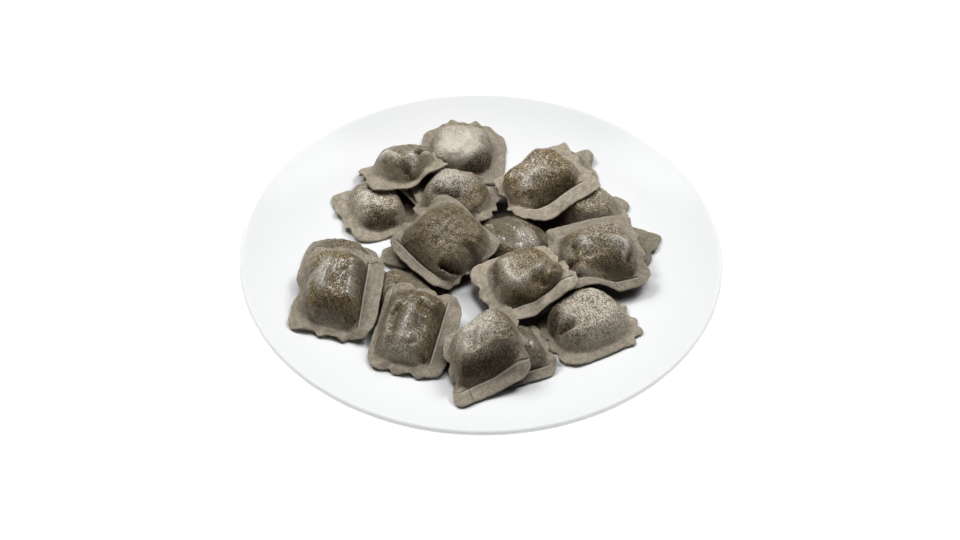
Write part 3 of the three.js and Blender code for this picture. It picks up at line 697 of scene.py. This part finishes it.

# In the order in which they are laid. Lengths are in millimetres, angles in degrees.
# at: middle of the sheet. turn, tip: about Z, then about X and Y. size: across X, between the
# ragged edges, and Y, between the straight ones. square: how square the outline is. pulls: where
# the outline is pulled out, how far, and over what angle. slant: how far the +Y side is shifted.
# strip, hem: flat edge on the -Y and +Y sides. ragged: flat edge on the other two.
# creases: how sharply the dome ends at the strip and the hem. run: how far they run on past it.
# off, peak: how far the dome and its top are from the middle. front, side: how full the dome is
# towards a crease and elsewhere. curl: lift of the corners, anticlockwise from -X -Y.
# folds: path, width, rise, and how strong its painted highlight is, painted shade below 0. Folds
# and flats lie on the plate's axes from the middle, dents and the crack in the strip on the
# raviolo's own.
# flour: how much, where on the plate's axes, and its reach. soft: 1 for even flour without grains.
# crevice: how much of the painted shade in a gap it takes, if not all.
# Each piece's brightness is set for how light falls on it: painted light and shade.
ravioli = [
    {"name": "left_back", "at": (-60, 45, 8), "turn": 26, "tip": (0, 3),
     "size": (44, 42), "square": 3.4, "ragged": 9, "off": (0.5, 2), "peak": (1, -1),
     "dome": 12.5, "side": 3.8, "seed": 3,
     "pulls": [(140, 3, 16)], "creases": (0, 0),
     "folds": [
         ([(-9, 0), (-8, -8), (-6, -13)], 3, 1.5, 0.5),
         ([(-12, 6), (-7, 1)], 1, 0.3, 0.8),
         ([(-12, 2), (-6, -3)], 0.9, 0.3, 0.9),
         ([(-11, -3), (-6, -7)], 0.9, 0.3, 0.8),
         ([(-6, 4), (-1, 1)], 0.9, 0.2, 0.6),
         ([(2, -8), (6, -10)], 2.2, 1, 0.4),
         ([(12, -3), (10, -8)], 2.2, 1.5, 0.5),
         ([(-4, -9), (-2, -12)], 2, -1.5, -0.5),
         ([(-6, -15), (9, -13)], 3.4, 0, -1.1),
     ],
     "flour": (0.95, -4, 0, 13), "gold": 1.6, "gloss": 0.5, "paintedBrightness": 1.2},
    {"name": "back_low", "sides": plainSides, "at": (-31, 59, 10), "turn": -45, "tip": (-12, 6),
     "size": (35, 29), "curl": (3, 0, 0, 1), "dome": 3, "seed": 21, "paintedBrightness": 2, "crevice": 0.2},
    {"name": "far", "at": (-11, 93, 11), "turn": 88, "tip": (11, 1),
     "size": (43, 50), "square": 4, "strip": 10, "hem": 7.5, "ragged": 7, "off": (-1, 0),
     "peak": (2, 2), "side": 6.5, "seed": 1,
     "pulls": [(-47, -3, 12), (47, -4, 12), (-135, 3, 14)], "creases": (0, 0),
     "folds": [
         ([(-4, -3), (0, -4)], 3.5, -1, 0),
         ([(5, -19), (16, -10)], 6.5, -0.5, -1.6),
     ],
     "flour": (1.8, -2, -9, 18), "soft": 1, "gold": 0.2, "gloss": 0.3},
    {"name": "far_right", "sides": plainSides, "at": (45, 72, 9), "turn": 10, "tip": (4, -3),
     "size": (44, 36), "pulls": [(38, 3, 9)], "seed": 7, "flour": (0.3, 10, 5, 20)},
    {"name": "right_low", "sides": plainSides, "at": (77, 13, 9), "turn": -27, "tip": (0, -5),
     "size": (39, 44), "square": 4, "strip": 8, "hem": 8, "off": (1, -5), "peak": (0, -3),
     "dome": 12, "seed": 10, "pulls": [(47, 2.5, 8)], "paintedBrightness": 0.75, "olive": 0.9},
    {"name": "right_back", "sides": plainSides, "at": (62, 44, 9), "turn": -20, "tip": (1, -4),
     "size": (42, 34), "seed": 8, "creases": (0, 0), "flour": (0.35, 4, 0, 16), "gold": 1.9},
    {"name": "right_front", "at": (59.5, -47, 8), "turn": 26, "tip": (-2, -4),
     "size": (50, 45), "strip": 6, "hem": 3.5, "off": (0, 2), "dome": 14, "side": 6.5,
     "seed": 19, "pulls": [(-45, -3, 6), (-56, 1.5, 5)], "creases": (0, 0),
     "dents": [
         {"at": (-15, -5), "reach": (6, 3.5), "along": -20, "depth": 3},
         {"at": (19, 0), "reach": (2, 4), "along": 0, "depth": 2.5},
     ],
     "folds": [
         ([(-15, -9.5), (-9, -9.5)], 1.6, -3, -0.8),
         ([(-9, -14), (2, -13)], 3.6, 2.5, 0.3),
         ([(-13, 0), (-10, -5)], 3, 1.5, 0.7),
         ([(10, 0), (12, -2)], 3, 1.5, 0.4),
         ([(-19, 6), (-19.5, -6)], 3.6, 0, -1.2),
     ],
     "flour": (1, 2, 5, 22), "gold": 0.7, "gloss": 0.35},
    {"name": "front_low", "sides": plainSides, "at": (17.5, -68, 8), "turn": 22, "tip": (-3, 2),
     "size": (41, 42), "strip": 7, "seed": 18, "gold": 0.3, "gloss": 0.9, "paintedBrightness": 0.85,
     "olive": 0.6},
    {"name": "left_low", "sides": plainSides, "at": (-80, -4, 9), "turn": 80, "tip": (0, 6),
     "size": (46, 42), "square": 4, "creases": (0, 0), "seed": 14,
     "flour": (0.2, 6, 12, 20), "paintedBrightness": 0.85},
    {"name": "middle_left", "sides": plainSides, "at": (-42, -23, 8), "turn": 6,
     "size": (42, 40), "dome": 11.5, "seed": 16,
     "flats": [{"from": (2, 2), "towards": 50, "level": 0.9, "drop": 0.9}],
     "paintedBrightness": 0.85},
    {"name": "middle_low", "sides": plainSides, "at": (-29, 20, 8), "turn": -8,
     "size": (42, 44), "square": 4, "slant": 9, "dome": 9, "seed": 20, "creases": (0, 0),
     "gold": 0.1, "gloss": 0.9, "olive": 1},
    {"name": "middle_right", "sides": plainSides, "at": (16, 17, 8), "turn": -8,
     "size": (50, 44), "dome": 12, "seed": 11, "pulls": [(98, 6, 26)], "creases": (0, 0),
     "folds": [([(8, -2), (13, -6)], 4.2, 0.8, 1.1)],
     "flour": (0.06, 6, -3, 12), "gold": 0.15, "gloss": 0.9, "olive": 0.5},
    {"name": "left_front", "at": (-35.5, -56.5, 13.5), "turn": 76, "tip": (15, -1),
     "size": (56, 44), "strip": 9.5, "hem": 4, "ragged": 7, "off": (1.5, 0), "side": 5.5,
     "seed": 15, "creases": (1, 0.5),
     "folds": [
         ([(-1, 8), (-3, 0), (-7, -11)], 3.2, 3.5, 1),
         ([(-15, 5), (-15.5, -9)], 2, 2, 0.4),
         ([(-9, 12), (-12, 8)], 2, 1.5, 0.4),
         ([(-9.5, 7), (-11, -4)], 2, -2, -0.5),
         ([(4, 9), (12, 7)], 3.2, -2.5, -0.6),
         ([(-16, -12), (-4, -18)], 2, 1, 0.4),
         ([(2, 2), (4, -10)], 2.6, -0.9, -0.4),
         ([(-12, -13), (0, -13)], 1.8, -1, -0.5),
     ],
     "flour": (0.3, -5, -17, 8), "gold": 0.55, "gloss": 0.9},
    {"name": "back_upper", "at": (-14, 44, 17.5), "turn": -10, "tip": (-2, 4),
     "size": (46, 40), "off": (-1, 1), "side": 5.5, "creases": (0.4, 0), "seed": 4,
     "pulls": [(140, 3, 12), (168, 4.5, 11), (40, 3, 12)], "curl": (0, 0, 0, 2),
     "flats": [{"from": (0, -3), "towards": -100, "level": 0.9, "drop": 0.8}],
     "folds": [
         ([(-13, 2), (-3, 3), (3, 2)], 3, 2, 0.5),
         ([(-13, -5), (-1, -6)], 2.4, -2.5, -1.1),
         ([(5, -5), (9, -14)], 3, 1, 0),
     ],
     "flour": (1.4, -5, 5, 12), "gold": 1.2, "gloss": 0.4},
    {"name": "back_left_upper", "at": (-46, 67, 16.5), "turn": 18, "tip": (-15, -1),
     "size": (48, 36), "strip": 5.5, "hem": 3, "ragged": 7.5, "off": (1.5, 0), "dome": 14.5,
     "side": 5.5, "seed": 2, "pulls": [(37, -6, 16)], "creases": (0, 0),
     "folds": [
         ([(-2, -8), (3, -11.5), (8, -14)], 2.6, -6, -1.3),
         ([(10, -4), (17, 1)], 2.4, -4.5, -1.3),
         ([(-8, -4), (-3, -6)], 2.8, 2, 1.6),
         ([(4, -7), (7, -10)], 2, 2, 1.8),
         ([(12, -5), (17, -2)], 1.8, 1, 0.9),
     ],
     "flour": (0.12, -4, 0, 10), "gold": 0, "gloss": 0.8, "paintedBrightness": 1.3, "olive": 0.9},
    {"name": "middle_upper", "at": (-21.5, 7.5, 19), "turn": -50, "tip": (15, -2),
     "size": (48, 48), "hem": 3, "ragged": 3.8, "off": (1, 1), "front": 2.8,
     "seed": 5, "pulls": [(-45, 3, 14), (45, 3, 12)],
     "folds": [
         ([(0, -19.5), (5, -20.5), (10, -20.5)], 1.5, -6.5, -1.3),
         ([(1, -22.5), (9, -23.5)], 2, 2, 0.8),
         ([(14, -8), (17, -12)], 3, -2, -0.6),
     ],
     "flour": (0.12, 2, -8, 12), "gold": 0.5, "gloss": 0.3},
    {"name": "right_back_upper", "at": (37, 55.5, 20), "turn": 30, "tip": (2, -7),
     "size": (50, 46), "square": 8, "strip": 8, "hem": 7, "off": (-3.5, 1),
     "dome": 12, "front": 2.8, "side": 7, "seed": 6,
     "pulls": [(42, 2.5, 12), (-135, 2, 14), (-160, 6, 13)],
     "flats": [{"from": (4, -3), "towards": -70, "level": 0.98, "drop": 0.85}],
     "folds": [
         ([(-15, 5), (-6, 10)], 4.5, 1.6, 0),
         ([(-11, -11), (-6, -4), (-2, -2)], 3, 2, 1.2),
         ([(-2, -2), (6, -2.5), (15, 0)], 1.8, 1.5, 0.3),
         ([(-8, -15), (4, -11), (13, -5)], 3.6, 0, -0.9),
     ],
     "flour": (0.35, -8, -2, 9), "gold": 1.3, "gloss": 0.8, "paintedBrightness": 1.25},
    {"name": "right_upper", "at": (65, -1.5, 19.5), "turn": 14, "tip": (12, -2),
     "size": (50, 50), "square": 8, "strip": 6.5, "hem": 8, "ragged": 7, "off": (0, -1),
     "dome": 12.6, "side": 6.5, "seed": 9, "pulls": [(-130, 3, 12)], "creases": (1, 0.5),
     "flats": [{"from": (0, -10), "towards": -78, "level": 0.9, "drop": 1.2}],
     "folds": [
         ([(-9, 1), (-7, -3)], 2.8, 2, 1.2),
         ([(-18, -2), (-17, -6)], 2.4, 2, 0.7),
         ([(8, -1), (13, -3)], 3.2, 2.5, 1.2),
         ([(-13, -18), (-9, -17)], 3, 3, 0.8),
         ([(-13, -2), (-12.5, -11)], 1.8, -2, -0.5),
         ([(-23, -10), (-15, -11)], 1.4, -3.5, -0.9),
         ([(16, -9), (18.5, -3)], 1.4, -3.5, -0.9),
         ([(13, -9), (15.5, -4)], 1.2, 1.5, 0.5),
         ([(4, -13), (12, -12)], 3.4, 0, -0.4),
     ],
     "crack": {"at": (4.3, -21.5), "along": -69, "half": 2.5},
     "flour": (0.35, 0, 3, 14), "gold": 1.2, "gloss": 0.75},
    {"name": "left_upper", "at": (-78.5, -31.5, 18), "turn": 83, "tip": (14, -3),
     "size": (55, 48), "strip": 10, "hem": 6, "ragged": 6.2, "off": (0.5, 0), "dome": 14,
     "seed": 13, "pulls": [(142, 3.5, 9), (88, -2.5, 12), (45, -2, 12)],
     "flats": [{"from": (0, -11), "towards": -97, "level": 0.95, "drop": 1.1}],
     "folds": [
         ([(-3.5, 11), (-6, 7.5), (-6.5, -4.5)], 3, 3, 1.3),
         ([(9.5, 11.5), (8.5, 1.5), (8, -8.5)], 2.2, 3, 1),
         ([(1, 9), (1, -6)], 3, -1, 0),
         ([(-5, -12), (6, -13)], 4, 0, -0.5),
         ([(-10, -19), (6, -20)], 3, 0, -0.4),
     ],
     "crack": {"at": (20.5, -15.5), "along": -71, "half": 4.5},
     "flour": (0.2, -6, 6, 8), "gold": 1.6, "gloss": 0.9},
    {"name": "top", "at": (23.5, -23, 19), "turn": 26, "tip": (7, 3),
     "size": (50, 44), "square": 8, "strip": 8, "hem": 4, "ragged": 7.5, "off": (1.5, 0),
     "side": 5.5, "seed": 12, "run": 3.5,
     "folds": [
         ([(-12, 4), (-10, -3), (-7, -10)], 2.6, 2.5, 0.9),
         ([(-4.5, -10), (1, -5), (8, 1)], 2.4, 2.5, 0.9),
         ([(5, -4), (14, -7)], 3.4, -3.5, -0.7),
         ([(6, -11), (16, -8)], 2, 1.5, 0.3),
         ([(-17, 4), (-15, -6)], 1.6, -1.5, -0.8),
         ([(-4, -15), (2, -14)], 2.4, 0, -0.6),
     ],
     "flour": (0.3, -8, 0, 9), "gloss": 0.65, "paintedBrightness": 1.3},
    {"name": "front_upper", "at": (3, -76, 17.5), "turn": 27, "tip": (10, -6),
     "size": (43, 45), "slant": 5, "run": 2.5, "square": 8, "strip": 8, "hem": 3, "ragged": 3.6,
     "dome": 12.7, "front": 2.6, "side": 6.5, "seed": 17, "pulls": [(-137, 5, 13), (45, 2, 10)],
     "flats": [{"from": (1, -6), "towards": -74, "level": 0.98, "drop": 1.05}],
     "folds": [
         ([(-10, -9), (1, -5), (12, -3), (18, 1)], 2, 2.5, 0.3),
         ([(-11, 6), (-9.5, -8)], 2.8, 2, 0.6),
         ([(2, 5), (-3, -4)], 2, 1.5, 0.6),
         ([(-6, 4), (-5, -2)], 2, -1.5, -0.5),
         ([(-7, -13), (6, -10), (14, -6)], 4.6, 0, -1.3),
     ],
     "crack": {"at": (-14.4, -18.5), "along": -87, "half": 4.4},
     "flour": (1.35, -7, 6, 12), "gloss": 0.7},
]

# Linear colours of the skin, from the bare flat band to the flour on the domes, and the colours of
# its painted highlights and painted shade.
skinColours = {
    "band": shade(0.243, 0.204, 0.153),
    "bandPale": shade(0.392, 0.342, 0.270),
    "domeDark": shade(0.074, 0.049, 0.020),
    "domeLight": shade(0.300, 0.236, 0.148),
    "gold": shade(0.450, 0.335, 0.170),
    "goldDeep": shade(0.074, 0.047, 0.016),
    "film": shade(0.157, 0.128, 0.087),
    "olive": shade(0.150, 0.146, 0.094),
    "flour": shade(0.700, 0.640, 0.540),
    "paintedHighlight": shade(0.640, 0.595, 0.520),
    "paintedShadeBrown": shade(0.033, 0.019, 0.006),
    "paintedCreaseShade": shade(0.020, 0.016, 0.012),
}


# Noise sizes are repeats for each millimetre, depths are in millimetres. A mask gives where it
# begins and where it is full.
skinLook = {
    "patches": 0.11,
    "film": 0.15,
    "mottle": 0.34,
    "speckle": 1.2,
    "fine": 2.2,
    "stretch": 1.5,
    "streaks": 1.0,
    "bandMask": (0.44, 0.59),
    "domeMask": (0.45, 0.57),
    "filmMask": (0.44, 0.58),
    "goldMask": (0.44, 0.63),
    "goldPatches": (0.34, 0.56),
    "goldRise": (0.4, 0.85),
    "hazeMask": (0.42, 0.76),
    "dustMask": (0.46, 0.57),
    "strayMask": (0.66, 0.74),
    "coatMask": (0.40, 0.62),
    "crease": (0.12, 0.5),
    "ledge": (0.15, 0.5),
    "ledgeAt": 0.85,
    "crack": (0.10, 0.24),
    "filmShare": 0.85,
    "strayShare": 0.55,
    "deepShare": 0.8,
    "poreDepth": 0.16,
    "pebbleDepth": 0.9,
    "pulledDepth": 0.45,
    "cutDepth": 0.35,
    "roughness": 0.62,
    "coatRoughness": 0.21,
    "specular": 0.25,
}


# Boiled dark pasta: dull on the flat band, damp and speckled gold where it is stretched over
# the filling, and floured where it lay on the board.
def pastaSkin():
    skin = Finish("ravioliSkin")
    look = skinLook
    place, spread = (skin.attribute(name, "Vector") for name in ("skin", "spread"))
    rise, onDome, outward, soft, paintedBrightness, paintedLightAndShade, creased, creaseSide = (
        skin.attribute(name) for name in
        ("rise", "cover", "outward", "soft", "paintedBrightness", "paintedLightAndShade", "creased", "creaseSide"))

    patches = skin.noise(place, look["patches"], 3.0, 0.55)
    mottle = skin.noise(place, look["mottle"], 3.0, 0.6)
    speckle = skin.noise(place, look["speckle"], 1.0)
    fine = skin.noise(place, look["fine"], 2.0, 0.6)
    stretch = skin.noise(spread, look["stretch"], 3.0, 0.6)
    streaks = skin.noise(spread, look["streaks"], 2.0, 0.6)
    grains = speckle * 0.6 + fine * 0.4
    brushed = speckle * (0.7 - 0.22 * outward) + fine * 0.3 + streaks * outward * 0.22

    band = skin.mixColour(skin.between(mottle * 0.4 + grains * 0.6, *look["bandMask"]),
                          skinColours["band"], skinColours["bandPale"])
    dome = skin.mixColour(skin.between(mottle * 0.4 + brushed * 0.6, *look["domeMask"]),
                          skinColours["domeDark"], skinColours["domeLight"])
    film = look["filmShare"] * skin.between(skin.noise(place, look["film"]), *look["filmMask"])
    dome = skin.mixColour(film, dome, skinColours["film"])
    golden = skin.mixColour(skin.between(brushed, *look["goldMask"]),
                            skinColours["goldDeep"], skinColours["gold"])
    gilded = 0.9 * skin.attribute("gold") * skin.between(patches, *look["goldPatches"])
    gilded = skin.add("ShaderNodeClamp", None, {0: gilded * skin.between(rise, *look["goldRise"])})
    dome = skin.mixColour(gilded, dome, golden)
    green = 0.6 * skin.attribute("olive") * skin.between(patches, 0.3, 0.7)
    # Paler towards the cut edge of the band.
    paleEdge = 0.3 * skin.between(skin.attribute("edge"), 0.8, 1.0)

    # Flour lies as a haze, thicker in soft clouds, with grains in it where it thins out.
    haze = skin.between(mottle * 0.7 + patches * 0.5, *look["hazeMask"])
    dusted = skin.between(brushed, *look["dustMask"])
    grainy = (0.3 + 0.7 * onDome) * (0.1 + 0.35 * haze + 0.85 * dusted) * (1 - 0.8 * soft)
    flour = skin.attribute("flour") * (grainy + soft * onDome * (0.45 + 0.2 * haze))
    flour = skin.add("ShaderNodeClamp", None, {0: flour})

    # Painted highlights on the ridges, painted shade in the hollows and in the gaps between pieces.
    paintedLight = paintedLightAndShade.maths("MAXIMUM", paintedLightAndShade, 0.0)
    paintedFoldShade = paintedLightAndShade.maths("MAXIMUM", 0 - paintedLightAndShade, 0.0)
    stray = look["strayShare"] * skin.between(fine, *look["strayMask"])
    paintedGapShade = look["deepShare"] * skin.attribute("paintedGapShade")

    # Pressed lines: the crease at the dome and the crack in the strip, bumped and with painted
    # shade, and the ledge along the crease, with a painted highlight in the flour colour.
    crease = (1 - skin.between(abs(creaseSide), *look["crease"])) * creased
    ledge = (1 - skin.between(abs(creaseSide - look["ledgeAt"]), *look["ledge"])) * creased
    crack = 1 - skin.between(abs(skin.attribute("crackSide")), *look["crack"])
    crack = crack * skin.attribute("crackRun")

    colour = skin.mixColour(onDome, band, dome)
    for share, coat in (
            (green, "olive"),
            (paleEdge, "bandPale"),
            (flour, "flour"),
            # painted highlight on the ridges
            (paintedLight * (0.25 + 0.7 * dusted), "paintedHighlight"),
            # painted shade in the hollows of the folds
            (paintedFoldShade * (0.95 - 0.3 * dusted), "paintedShadeBrown"),
            (stray, "flour"),
            # painted shade in the gaps between pieces
            (paintedGapShade, "paintedShadeBrown"),
            # painted highlight on the ledge, in the flour colour
            (ledge * 0.45, "flour"),
            # painted shade in the crease and the crack
            (crease * 0.75, "paintedCreaseShade"),
            (crack * 0.9, "paintedCreaseShade")):
        colour = skin.mixColour(share, colour, skinColours[coat])
    # Brightness of each piece, set for how light falls on it: painted light and shade.
    toned = skin.add("ShaderNodeCombineColor", None, {0: paintedBrightness, 1: paintedBrightness, 2: paintedBrightness})
    colour = skin.mixColour(1.0, colour, toned, "MULTIPLY")

    upper = onDome * skin.between(rise, 0.45, 0.85)
    damp = 1.25 * skin.attribute("gloss") * (0.12 + 0.88 * upper)
    beaded = 0.15 + 0.85 * skin.between(grains, *look["coatMask"])
    pores = skin.bump(fine, look["poreDepth"])
    pebbles = skin.bump(speckle * (0.3 + 0.7 * onDome) * (1 - 0.6 * film),
                        look["pebbleDepth"], pores)
    slopes = skin.between(rise, 0.02, 0.3) * (1 - 0.5 * skin.between(rise, 0.5, 0.9))
    pulled = skin.bump(stretch * slopes, look["pulledDepth"], pebbles)
    return skin.surface({
        "Base Color": colour,
        "Roughness": look["roughness"] - 0.26 * damp + 0.18 * flour + 0.14 * (fine - 0.5),
        "IOR": 1.45,
        "Normal": skin.bump(1 - crease * 0.8 - crack, look["cutDepth"], pulled),
        "Coat Weight": damp * (1 - 0.6 * flour) * (1 - 0.8 * paintedFoldShade) * beaded,
        "Coat Roughness": look["coatRoughness"],
        "Specular IOR Level": look["specular"],
    })


# How far a point is beside the crack in the strip, and whether it is along it.
def crackLayers(crack, x, y):
    if crack is None:
        return np.full_like(x, farAway), np.zeros_like(x)
    run, side = onTurned(x - crack["at"][0], y - crack["at"][1], crack["along"])
    return side, 1 - smoothStep(np.abs(run), crack["half"] - 0.4, crack["half"])


def makeRaviolo(piece, heights, skin):
    points, layers, faces = flatRaviolo(piece)
    points = laidPoints(piece, points)
    amount, fromX, fromY, reach = piece["flour"]
    away = np.hypot(points[:, 0] - piece["at"][0] - fromX, points[:, 1] - piece["at"][1] - fromY)
    layers["flour"] = amount * np.exp(-(away / reach) ** 2.6)
    for key in ("gold", "gloss", "paintedBrightness", "olive", "soft"):
        layers[key] = np.full(len(points), float(piece[key]))
    own = layers.pop("skinX"), layers.pop("skinY")
    layers["crackSide"], layers["crackRun"] = crackLayers(piece["crack"], *own)
    bendOver(points, heights)
    np.maximum(heights, heightGrid(points, 0.0, np.maximum), out=heights)
    node = "raviolo_" + piece["name"]
    return newPiece(node + "_pasta", points, faces, skin, node, layers)


# How far below its surroundings a point begins to take painted shade, and where the shade is full.
crevices = {"window": 4, "pasta": (0.5, 9), "plate": (6, 11), "underside": 0.5}


# Marks how deep each point lies among its neighbours, from 0 in the open to 1 in a gap: the mask
# of the painted shade on the pasta and the painted shadow on the plate.
def markCrevices(whitePlate, laid, heights):
    around = averaged(averaged(heights, crevices["window"]), crevices["window"])
    jobs = [(mesh, "pasta", piece["crevice"]) for mesh, piece in zip(laid, pile)]
    for mesh, kind, share in jobs + [(whitePlate, "plate", 1.0)]:
        points = np.empty(len(mesh.data.vertices) * 3)
        mesh.data.vertices.foreach_get("co", points)
        points = points.reshape(-1, 3) / mm
        depth = share * smoothStep(sampled(around, points) - points[:, 2], *crevices[kind])
        if kind == "plate":
            top = plateTop(np.hypot(points[:, 0], points[:, 1]))
            depth[points[:, 2] < top - crevices["underside"]] = 0
        storeLayer(mesh.data, "paintedGapShade", depth)


view = {
    "target": Vector((-0.549, 5.773, 0.0)) * mm,
    "distance": 1.2,
    "elevation": math.radians(44.919),
    "roll": math.radians(0.574),
    "focal": 2117.6,
    "frameWidth": 960,
}


def makeCamera():
    data = bpy.data.cameras.new("camera")
    data.sensor_width = 36.0
    data.sensor_fit = "HORIZONTAL"
    data.lens = view["focal"] * data.sensor_width / view["frameWidth"]
    camera = newObject("camera", data)
    back = Vector((0, -math.cos(view["elevation"]), math.sin(view["elevation"])))
    levelRight = Vector((1, 0, 0))
    levelUp = back.cross(levelRight)
    right = levelRight * math.cos(view["roll"]) + levelUp * math.sin(view["roll"])
    up = levelUp * math.cos(view["roll"]) - levelRight * math.sin(view["roll"])
    camera.matrix_world = Matrix.Translation(view["target"] + back * view["distance"]) @ Matrix(
        (right, up, back)).transposed().to_4x4()
    scene.camera = camera


# Softboxes: place, width and depth in metres, and power in watts.
studio = {
    "boxes": [
        {"name": "boxRight", "at": (0.58, 0.42, 1.0), "size": (0.44, 0.44), "power": 7.8},
        {"name": "boxLeft", "at": (-0.58, 0.42, 1.0), "size": (0.44, 0.44), "power": 7.8},
        {"name": "boxTop", "at": (0.0, 0.16, 1.4), "size": (0.8, 0.8), "power": 5.6},
    ],
    "aim": Vector((0, 0, 0.02)),
    "air": shade(1.0, 0.99, 0.97),
    "airStrength": 0.05,
    "floorHalf": 4.0,
    "paper": shade(0.9, 0.9, 0.9),
    "paperPale": shade(0.94, 0.94, 0.94),
    "toothSize": 300.0,
    "paperRoughness": 0.9,
    "floorGlow": 1.1,
}


def makeLights():
    for box in studio["boxes"]:
        data = bpy.data.lights.new(box["name"], "AREA")
        data.shape = "RECTANGLE"
        data.size, data.size_y = box["size"]
        data.energy = box["power"]
        light = newObject(box["name"], data)
        light.location = box["at"]
        aim = studio["aim"] - light.location
        light.rotation_euler = aim.to_track_quat("-Z", "Y").to_euler()
    world = bpy.data.worlds.new("studio")
    world.use_nodes = True
    air = world.node_tree.nodes["Background"].inputs
    air["Color"].default_value = studio["air"]
    air["Strength"].default_value = studio["airStrength"]
    scene.world = world
    scene.view_settings.view_transform = "Standard"


# Pale paper, lit from below as on a light table.
def makeFloor():
    half = studio["floorHalf"]
    mesh = bpy.data.meshes.new("floor")
    mesh.from_pydata([(-half, -half, 0), (half, -half, 0), (half, half, 0), (-half, half, 0)],
                     [], [(0, 1, 2, 3)])
    paper = Finish("floorPaper")
    tooth = paper.noise(paper.add("ShaderNodeTexCoord", output="Object"), studio["toothSize"])
    mesh.materials.append(paper.surface({
        "Base Color": paper.mixColour(tooth, studio["paper"], studio["paperPale"]),
        "Roughness": studio["paperRoughness"],
        "Emission Color": shade(1, 1, 1),
        "Emission Strength": studio["floorGlow"],
    }))
    newObject("floor", mesh)


makeCamera()
makeLights()
makeFloor()
print("camera, lights and floor are in place")

whitePlate = makePlate()
print("plate is turned")

cells = np.arange(grid["size"]) - grid["reach"]
acrossX, acrossY = np.meshgrid(cells, cells)
heights = plateTop(np.minimum(np.hypot(acrossX, acrossY), plate["radius"]))
skin = pastaSkin()
pile = [{**standardRaviolo, **entry} for entry in ravioli]
laid = []
for piece in pile:
    laid.append(makeRaviolo(piece, heights, skin))
    print("laid", laid[-1].name, len(laid[-1].data.polygons), "faces")
markCrevices(whitePlate, laid, heights)
print("crevices are marked")
